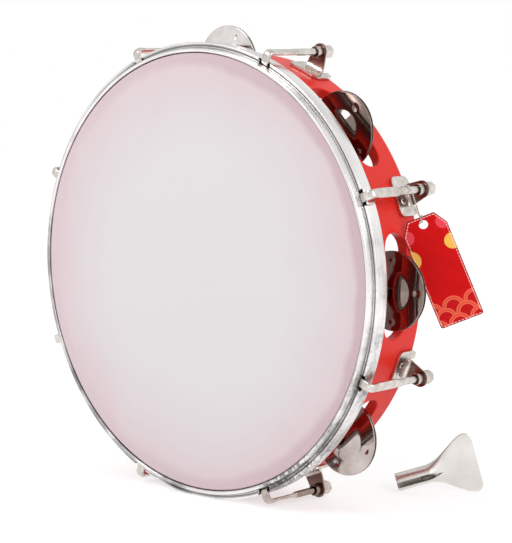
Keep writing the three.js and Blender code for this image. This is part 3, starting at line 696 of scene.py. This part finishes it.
def rivetSurface(s):
    # two domes outside, and inside a round-ended strip with the two clenched ends
    parts = []
    for side in (-1, 1):
        x = side * s["spacing"] / 2
        drop = math.sqrt(s["seat"] ** 2 - x * x)
        parts.append(domeSurface(s["headRadius"], s["headHeight"], (x, s["depth"], drop)))
        inside = (x, s["depth"], s["backing"] - s["backingThick"])
        parts.append(domeSurface(s["clenchRadius"], s["clenchHeight"], inside, -1))
    turn = wholeTurn(48)
    away = np.stack([np.cos(turn), np.sin(turn)], -1)
    line = np.sign(away[:, :1]) * [s["backingHalf"] - s["backingRadius"], 0] + [0, s["depth"]]
    reach = np.array([0, 0.55, 0.8, 0.95, 1, 1, 0.95, 0.8, 0.55, 0])[:, None, None]
    level = s["backing"] - s["backingThick"] * np.array([0, 0, 0, 0.05, 0.25, 0.75, 0.95, 1, 1, 1])
    flat = line * np.minimum(1, reach * 1.6) + (1 - np.minimum(1, reach * 1.6)) * [0, s["depth"]]
    flat = flat + away * s["backingRadius"] * reach
    points = np.stack([flat[..., 0], flat[..., 1], level[:, None] + 0 * turn], -1)
    parts.append(gridSurface(points, False, True))
    return joined(parts)


def finishSheet(piece, thickness, bevel):
    # the sheet's wall and its broken edges
    wall = piece.modifiers.new("sheet", "SOLIDIFY")
    wall.thickness = thickness / 1000
    wall.offset = 0
    wall.use_even_offset = True
    soft = piece.modifiers.new("soft edges", "BEVEL")
    soft.width = bevel / 1000
    soft.segments = 2
    soft.limit_method = "ANGLE"
    soft.angle_limit = math.radians(50)


brownLug = 4
hookMesh, nutMesh, rivetMesh = hookSurface(hook), nutSurface(nut), rivetSurface(rivets)
bracketMesh = joined([bracketPlate(bracket), bracketEar(bracket)])
for number, angle in enumerate(lugAngles, 1):
    def placed(surface):
        return aroundDrum(surface[0], angle), surface[1]
    plate = brownPlate if number == brownLug else nickelPlate
    makePiece(f"hook_{number}_claw", placed(hookMesh), f"hook_{number}",
              [f"tension_hook_{number}"],
              plate, 50)
    makePiece(f"nut_{number}_barrel", placed(nutMesh), f"nut_{number}",
              [f"tension_nut_{number}"],
              plate, 28)
    sheetPiece = makePiece(f"bracket_{number}_sheet", placed(bracketMesh), "drum",
                           [f"bracket_{number}"], nickelSheet, 50)
    finishSheet(sheetPiece, bracket["sheet"], bracket["soft"])
    makePiece(f"rivets_{number}_domes", placed(rivetMesh), "drum",
              [f"bracket_rivets_{number}"],
              nickelPlate, 50)
print("lugs made")

# Jingle nickel: steel sheet stamped, tumbled and plated, a mirror whose tone differs at random. Its bright,
# half-darkened and dark brown copies are painted light and painted shade, for the reflections each jingle
# takes
def jingleFinish(name, low, high):
    material, tree = newMaterial(name)
    tarnish = noise(tree, objectPlace(tree)[0], 70.0, 4.0, 0.6)
    coverWith(tree, {
        "Base Color": colourRamp(tree, tarnish, (0.3, low), (0.7, high)), "Metallic": 1.0,
        "Roughness": ranged(tree, tarnish, 0.3, 0.7, 0.13, 0.05),
        "Normal": bumped(tree, tarnish, 0.1, 0.0006)})
    return material


# Lit and shaded copies of one nickel: the two darker ones are painted shade and painted dark reflection
litNickel = jingleFinish("bright nickel on stamped steel", "#D6CFCB", "#F0ECE9")
halfShadedNickel = jingleFinish("half-shaded nickel on stamped steel", "#A3958F", "#CBC1BC")
shadedNickel = jingleFinish("shaded nickel on stamped steel", "#7C6A63", "#978780")

jingle = dict(pinCircle=122.25, sag=2.4, radius=22.2, sheet=0.6, cone=1.0, dome=3.75, crease=0.15,
              domeFoot=12.2, hole=3.9, warp=0.14, dimple=0.6, dimpleCircle=17.0, dimpleRadius=1.3,
              dimpleTurns=[25, 40, 90, 110, 60, 10, 75], finishes=[litNickel, shadedNickel, shadedNickel,
              halfShadedNickel, shadedNickel, litNickel, shadedNickel])


def jingleSurface(s, side, dimpleTurn):
    # Radius runs from the rim to the hole and back below. The height is a cone, cone (R - r)/(R - foot),
    # with a dome crease log(1 + exp(d/crease)) on it, where d = dome (1 - (r/foot)^2). The cone is bent by
    # warp cos 2(a - t) (r/R)^2 and has four dimples of depth exp(-(distance/radius)^2) towards the flat
    # side.
    above = np.concatenate([np.linspace(s["radius"] - 0.25, s["domeFoot"], 20),
                            np.linspace(s["domeFoot"], s["hole"] + 0.4, 17)[1:], [s["hole"] + 0.1]])
    radius = np.concatenate([[s["radius"] - 0.05, s["radius"], s["radius"] - 0.05], above, [s["hole"]],
                             above[::-1]])
    lift = np.concatenate([[0.06, 0.3, 0.5], 0 * above + s["sheet"], [s["sheet"] / 2], 0 * above])
    turn = wholeTurn(144)[:, None]
    slope = s["cone"] * np.clip((s["radius"] - radius) / (s["radius"] - s["domeFoot"]), 0, 1)
    rise = s["crease"] * np.log1p(np.exp(s["dome"] * (1 - (radius / s["domeFoot"]) ** 2) / s["crease"]))
    outer = smoothShare(s["domeFoot"] - 1, s["domeFoot"] + 3, radius)
    warp = s["warp"] * np.cos(2 * (turn - dimpleTurn)) * (radius / s["radius"]) ** 2 * outer
    height = lift + slope + rise + warp
    toDimple = np.mod(turn - dimpleTurn + np.pi / 4, np.pi / 2) - np.pi / 4
    near2 = (radius * np.sin(toDimple)) ** 2 + (radius * np.cos(toDimple) - s["dimpleCircle"]) ** 2
    height = height - s["dimple"] * np.exp(-near2 / s["dimpleRadius"] ** 2)
    return aboutAxis(radius, side * height, turn)


pins = dict(radius=1.2, front=14.5, rear=50.25, soft=0.4)


def pinSurface(s):
    # a bar with rounded ends, [radius, depth] about its own axis
    r, soft = s["radius"], s["soft"]
    outline = np.array([(0, s["front"]), (r - soft, s["front"]), (r, s["front"] + soft),
                        (r, s["rear"] - soft),
                        (r - soft * 0.3, s["rear"] - soft * 0.3), (r - soft, s["rear"]),
                        (0, s["rear"])])
    return gridSurface(turned(outline, wholeTurn(28)), True, False)


for number, angle in enumerate(slotAngles, 1):
    a = math.radians(angle)
    centre = np.array([jingle["pinCircle"] * math.sin(a), 0, jingle["pinCircle"] * math.cos(a)])
    points, faces = pinSurface(pins)
    makePiece(f"pin_{number}_bar", (points + centre, faces), f"pin_{number}",
              [f"jingle_pin_{number}"],
              drawnSteel)
    hung = centre - [0, 0, jingle["sag"]]
    dimpleTurn = math.radians(jingle["dimpleTurns"][number - 1])
    for name, side in (("front", -1), ("rear", 1)):
        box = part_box(f"jingle_{name}_{number}")
        rim = (box[1][1] if side < 0 else box[0][1]) * 1000
        points, faces = gridSurface(jingleSurface(jingle, side, dimpleTurn) + hung + [0, rim, 0], True, True)
        makePiece(f"jingle_{number}_{name}_cup", (points, faces), f"jingle_{name}_{number}",
                  [f"jingle_{name}_{number}"], jingle["finishes"][number - 1], 60)
print("jingles made")

tag = dict(place=(132.33, 42.1, 33.82), yaw=42.7, lean=13.0, tilt=22.6, half=12.6, top=4.6, bottom=-60.9,
           corner=4.8, shoulder=8.0, foot=1.5, hole=2.6, thickness=0.5, curl=0.7)

# Printed card: coated board with a satin print, one red ground with pale dots, a stitched border and wave
# scales
printedCard, tree = newMaterial("printed satin card")
card = addNode(tree, "UVMap", uv_map="print").outputs["UV"]
edge = addNode(tree, "UVMap", uv_map="edge").outputs["UV"]
edgeParts = addNode(tree, "SeparateXYZ", {"Vector": edge}).outputs
cardParts = addNode(tree, "SeparateXYZ", {"Vector": card}).outputs
colour = colourRamp(tree, noise(tree, card, 0.12, 2.0), (0.3, "#D00A0C"), (0.7, "#D80C10"))


def below(tree, value, limit, soft):
    # 1 where value is below the limit and 0 above it, over a soft edge
    return ranged(tree, value, limit - soft, limit + soft, 1.0, 0.0)


for across, up, radius, ink in ((-11.6, -4.3, 4.4, "#F04A55"), (10.6, -2.0, 4.1, "#F04A55"),
                                (-14.2, -17.6, 5.9, "#FFC45C"), (11.8, -14.5, 4.8, "#FFC45C")):
    gap = vectorMaths(tree, "DISTANCE", card, (across, up, 0))
    colour = paintOver(tree, colour, below(tree, gap, radius, 0.12), ink)

# Rows of wave scales, from the highest to the lowest, so that each row covers the feet of the row above it
waves = dict(radius=6.25, rowStep=5.4, lowest=-61.5, rows=3, shift=1.57, rings=[(6.25, "#F4694E"),
             (5.25, "#CC1118"), (4.95, "#F4694E"), (3.95, "#CC1118")])
for row in reversed(range(waves["rows"])):
    moved = maths(tree, "ADD", cardParts["X"], waves["shift"] + waves["radius"] * (row % 2))
    folded = maths(tree, "WRAP", moved, -waves["radius"], waves["radius"])
    rise = maths(tree, "SUBTRACT", cardParts["Y"], waves["lowest"] + row * waves["rowStep"])
    fromCentre = addNode(tree, "CombineXYZ", {"X": folded, "Y": rise}).outputs[0]
    reach = vectorMaths(tree, "LENGTH", fromCentre)
    for limit, ink in waves["rings"]:
        colour = paintOver(tree, colour, below(tree, reach, limit, 0.1), ink)

# The border in millimetres: distance from the edge, half width, dashes and the dark line outside it
border = dict(inFrom=0.85, half=0.17, step=2.1, dash=1.35, darkEdge=0.22)
onLine = below(tree, farFrom(tree, edgeParts["X"], border["inFrom"]), border["half"], 0.06)
inDash = below(tree, maths(tree, "MODULO", edgeParts["Y"], border["step"]), border["dash"], 0.1)
colour = paintOver(tree, colour, maths(tree, "MULTIPLY", onLine, inDash), "#F4E6E2")
colour = paintOver(tree, colour, below(tree, edgeParts["X"], border["darkEdge"], 0.08), "#7E0A10")
coverWith(tree, {"Base Color": colour, "Roughness": 0.5, "IOR": 1.45, "Specular IOR Level": 0.12,
                 "Normal": bumped(tree, noise(tree, card, 2.2, 3.0), 0.06, 0.0001)})


def tagSurface(s):
    # A grid from the outline to the hole, with the partner c + r P/|P| of each outline point P on the hole.
    # The card curls forward by curl (v/length)^2. The edge map holds the distance from the outline and the
    # length along it.
    corners = [(-s["half"], s["top"] - s["shoulder"]), (-s["half"], s["bottom"]), (s["half"], s["bottom"]),
               (s["half"], s["top"] - s["shoulder"]), (s["half"] - s["corner"], s["top"]),
               (s["corner"] - s["half"], s["top"])]
    bends = roundCorners(corners, [0.6, s["foot"], s["foot"], 0.6, 0.6, 0.6], 6)
    closed = np.concatenate([bends, bends[:1]])
    length = np.concatenate([[0], np.cumsum(np.linalg.norm(np.diff(closed, axis=0), axis=1))])
    run = np.unique(np.round(np.concatenate([length[:-1], np.linspace(0, length[-1], 181)[:-1]]), 3))
    outline = np.stack([np.interp(run, length, closed[:, k]) for k in (0, 1)], -1)
    hole = s["hole"] * unit(outline)
    share = np.concatenate([np.linspace(0, 0.12, 7)[:-1], np.linspace(0.12, 1, 22)])[:, None, None]
    flat = outline * (1 - share) + hole * share
    ahead = np.roll(outline, -1, 0)
    step = ahead - outline
    toPoint = flat[:, :, None] - outline[None, None]
    onStep = np.clip((toPoint * step).sum(-1) / (step ** 2).sum(-1), 0, 1)
    inFromEdge = np.linalg.norm(toPoint - onStep[..., None] * step, axis=-1).min(-1)
    lift = s["curl"] * (flat[..., 1] / s["bottom"]) ** 2 * (flat[..., 1] < 0)
    yaw, lean, tilt = (math.radians(s[name]) for name in ("yaw", "lean", "tilt"))
    upright = Matrix.Rotation(yaw, 3, "Z") @ Matrix.Rotation(math.pi / 2 + lean, 3, "X")
    pose = upright @ Matrix.Rotation(tilt, 3, "Z")
    axes = np.array(pose.transposed())
    points = np.array(s["place"]) + flat @ axes[:2] + lift[..., None] * axes[2]
    runGrid = np.repeat(run[None], len(share), 0)
    maps = {"print": flat.reshape(-1, 2), "edge": np.stack([inFromEdge, runGrid], -1).reshape(-1, 2)}
    return gridSurface(points, False, True), maps


tagMesh, tagMaps = tagSurface(tag)
tagPiece = makePiece("hang_tag_card", tagMesh, "tag", ["hang_tag"], printedCard, maps=tagMaps)
finishSheet(tagPiece, tag["thickness"], 0.08)
print("tag made")

# Zinc-plated sheet of the key: pressed and tumbled, satin bright and even, with a few soft rub marks
keyZinc, tree = newMaterial("zinc-plated pressed steel")
place, parts = objectPlace(tree)
rub = noise(tree, place, 90.0, 2.0)
both = maths(tree, "MULTIPLY_ADD", rub, 0.35, noise(tree, place, 60.0, 2.0))
coverWith(tree, {
    "Base Color": colourRamp(tree, both, (0.5, "#DAD6D1"), (0.85, "#E6E2DE")), "Metallic": 1.0,
    "Roughness": ranged(tree, both, 0.45, 0.9, 0.3, 0.24), "Normal": bumped(tree, rub, 0.02, 0.0001)})

key = dict(start=(76.4, 90.6, -126.735), yaw=42.7, slope=15.6946, tubeRadius=5.4, length=49.3,
           tubeLength=20.0, wall=1.3, socketFlats=7.6, socketRound=4.25, endLength=0.6, endDrop=0.8,
           socketDepth=17.0, wingHalf=18.1, wingThick=2.0, slitHalf=1.9, slitLean=11.5, flare=[(0, 0, 1),
           (0.1, 0.05, 0.8), (0.23, 0.17, 0.55), (0.35, 0.36, 0.28), (0.48, 0.56, 0.1), (0.6, 0.75, 0),
           (0.7, 0.9, 0), (0.8, 0.99, 0), (0.86, 1, 0), (0.92, 0.975, 0), (0.96, 0.92, 0), (0.985, 0.84, 0),
           (1, 0.72, 0)])


def keySurface(s):
    # A rolled sheet whose section is an open ring. Along the key the ring flattens to (half sin, thick / 2
    # cos), its slit closes to nothing, and its width flares to the wing. Rows are the outer ring followed by
    # the inner one.
    flare = np.array(s["flare"])
    along = np.concatenate([[0], [0.25], np.linspace(0.6, s["tubeLength"], 16),
                            s["tubeLength"] + (s["length"] - s["tubeLength"]) * np.linspace(0, 1, 61)[1:]])
    share = np.clip((along - s["tubeLength"]) / (s["length"] - s["tubeLength"]), 0, 1)
    wideShare, thickShare = (np.interp(share, flare[:, 0], flare[:, k]) for k in (1, 2))
    wide = s["tubeRadius"] + (s["wingHalf"] - s["tubeRadius"]) * wideShare
    thick = s["wingThick"] + (2 * s["tubeRadius"] - s["wingThick"]) * thickShare
    for values in (wide, thick):
        for smoothing in range(3):
            values[1:-1] = (values[:-2] + 2 * values[1:-1] + values[2:]) / 4
    soft = np.array([0.35, 0.1] + [0] * (len(along) - 2))
    wide, thick = wide - soft, thick - 2 * soft
    endSoft = np.clip((along - s["length"]) / s["endLength"] + 1, 0, 1)
    thick = thick - s["endDrop"] * endSoft ** 2
    closing = smoothShare(s["tubeLength"] - 2, s["tubeLength"] + 9, along)
    gap = np.arcsin(s["slitHalf"] / s["tubeRadius"]) * (1 - closing)
    ringShare = np.interp(share, [0, 0.62], [1, 0])
    turn = gap[:, None] + (2 * np.pi - 2 * gap[:, None]) * np.linspace(0, 1, 97)
    lean = math.radians(s["slitLean"]) * ringShare[:, None]
    y, z = np.sin(turn - lean), np.cos(turn - lean)
    power = (2 / (2 + 3 * (1 - ringShare)))[:, None]
    outerY = wide[:, None] * y
    outerZ = thick[:, None] / 2 * np.sign(z) * np.abs(z) ** power
    hexagon = s["socketFlats"] / 2 / np.cos(np.mod(turn - lean, np.pi / 3) - np.pi / 6)
    inSocket = (1 - smoothShare(s["socketDepth"] - 3, s["socketDepth"], along))[:, None]
    bore = np.minimum(hexagon, s["socketRound"]) * inSocket + (s["tubeRadius"] - s["wall"]) * (1 - inSocket)
    innerY = np.where(share[:, None] > 0, (wide[:, None] - s["wall"]) * y, bore * y)
    innerZ = np.where(share[:, None] > 0, np.maximum(thick[:, None] / 2 - s["wall"], 0.03) * z, bore * z)
    outer = np.stack([along[:, None] + 0 * y, outerY, outerZ], -1)
    inner = np.stack([along[:, None] + 0 * y, innerY, innerZ], -1)
    rings = np.concatenate([outer, inner[:, ::-1]], 1)
    count = turn.shape[1]
    surface, faces = gridSurface(rings, False, True)
    column = faces[:, 0] % (2 * count)
    row = faces[:, 0] // (2 * count)
    lips = (column == count - 1) | (column == 2 * count - 1)
    faces = faces[~(lips & (gap[row] <= 0))]
    i = np.arange(count - 1)
    cap = np.stack([i, i + 1, 2 * count - 2 - i, 2 * count - 1 - i], -1)
    faces = np.concatenate([faces, cap, cap[:, ::-1] + (len(along) - 1) * 2 * count])
    yaw, slope = math.radians(s["yaw"]), math.radians(s["slope"])
    axes = np.array([
        (math.cos(slope) * math.cos(yaw), math.cos(slope) * math.sin(yaw), math.sin(slope)),
        (-math.sin(slope) * math.cos(yaw), -math.sin(slope) * math.sin(yaw), math.cos(slope)),
        (math.sin(yaw), -math.cos(yaw), 0)])
    return surface @ axes + np.array(s["start"]), faces


makePiece("tuning_key_sheet", keySurface(key), "key", ["tuning_key"], keyZinc, 50)
print("key made")

# Pale floor that keeps the drum's shadow, and a white room
studio = dict(floor=-131.95, reach=2600.0, shaded=0.45, glow=0.64, worldLevel=0.82, cameraSide=0.9,
              ceiling=0.8, leftWall=0.42)


def addFloor(s):
    reach, level = s["reach"], s["floor"]
    corners = np.array([(-reach, -reach, level), (reach, -reach, level), (reach, reach, level),
                        (-reach, reach, level)])
    mesh = bpy.data.meshes.new("floor")
    mesh.from_pydata((corners / 1000).tolist(), [], [(0, 1, 2, 3)])
    material, tree = newMaterial("pale paper floor")
    rays = addNode(tree, "LightPath").outputs
    seen = maths(tree, "MAXIMUM", rays["Is Camera Ray"], rays["Is Glossy Ray"])
    seen = maths(tree, "MAXIMUM", seen, rays["Is Transmission Ray"])
    paper = addNode(tree, "BsdfDiffuse", {"Color": linear("#E6E6E6")})
    shaded = addNode(tree, "BsdfDiffuse", {"Color": (s["shaded"],) * 3 + (1,)})
    glow = addNode(tree, "Emission", {"Color": (1, 1, 1, 1), "Strength": s["glow"]})
    white = addNode(tree, "AddShader", {0: shaded.outputs[0], 1: glow.outputs[0]})
    mix = addNode(tree, "MixShader", {0: seen, 1: paper.outputs[0], 2: white.outputs[0]})
    addNode(tree, "OutputMaterial", {"Surface": mix.outputs[0]})
    mesh.materials.append(material)
    floor = bpy.data.objects.new("floor", mesh)
    bpy.context.scene.collection.objects.link(floor)


def addRoom(s):
    # Light from all round, white to the camera. Metal sees white behind the drum, a dimmer side with the
    # camera and a grey wall at the left.
    world = bpy.data.worlds.new("room")
    bpy.context.scene.world = world
    world.use_nodes = True
    tree = world.node_tree
    tree.nodes.clear()
    way = addNode(tree, "TexCoord").outputs["Generated"]
    parts = addNode(tree, "SeparateXYZ", {"Vector": way}).outputs
    height = ranged(tree, parts["Z"], 0.4, 0.75, 1.0, s["ceiling"])
    depth = ranged(tree, parts["Y"], -0.9, 0.2, s["cameraSide"], 1.0)
    toLeft = vectorMaths(tree, "DOT_PRODUCT", way, (-0.94, 0.34, 0))
    left = ranged(tree, toLeft, 0.62, 0.97, 1.0, s["leftWall"])
    mirror = maths(tree, "MULTIPLY", maths(tree, "MULTIPLY", height, depth), left)
    rays = addNode(tree, "LightPath").outputs
    clear = maths(tree, "MAXIMUM", rays["Is Camera Ray"], rays["Is Transmission Ray"])
    soft, mirrored, white = (
        addNode(tree, "Background", {"Color": (1, 1, 1, 1), "Strength": strength}).outputs[0]
        for strength in (s["worldLevel"], mirror, 1.0))
    first = addNode(tree, "MixShader", {0: rays["Is Glossy Ray"], 1: soft, 2: mirrored}).outputs[0]
    last = addNode(tree, "MixShader", {0: clear, 1: first, 2: white}).outputs[0]
    addNode(tree, "OutputWorld", {"Surface": last})


def addLamp(name, place, target, size, power):
    light = bpy.data.lights.new(name, "AREA")
    light.shape = "DISK"
    light.size = size
    light.energy = power
    lamp = bpy.data.objects.new(name, light)
    bpy.context.scene.collection.objects.link(lamp)
    lamp.location = place
    lamp.rotation_mode = "QUATERNION"
    lamp.rotation_quaternion = (Vector(place) - Vector(target)).to_track_quat("Z", "Y")


addFloor(studio)
addRoom(studio)
addLamp("key lamp", (-0.5, -1.3, 1.3), (0, 0, 0), 0.9, 12.0)
addLamp("side lamp", (1.5, -0.1, 0.7), (0.1, 0, 0), 0.7, 6.0)
print("studio made")
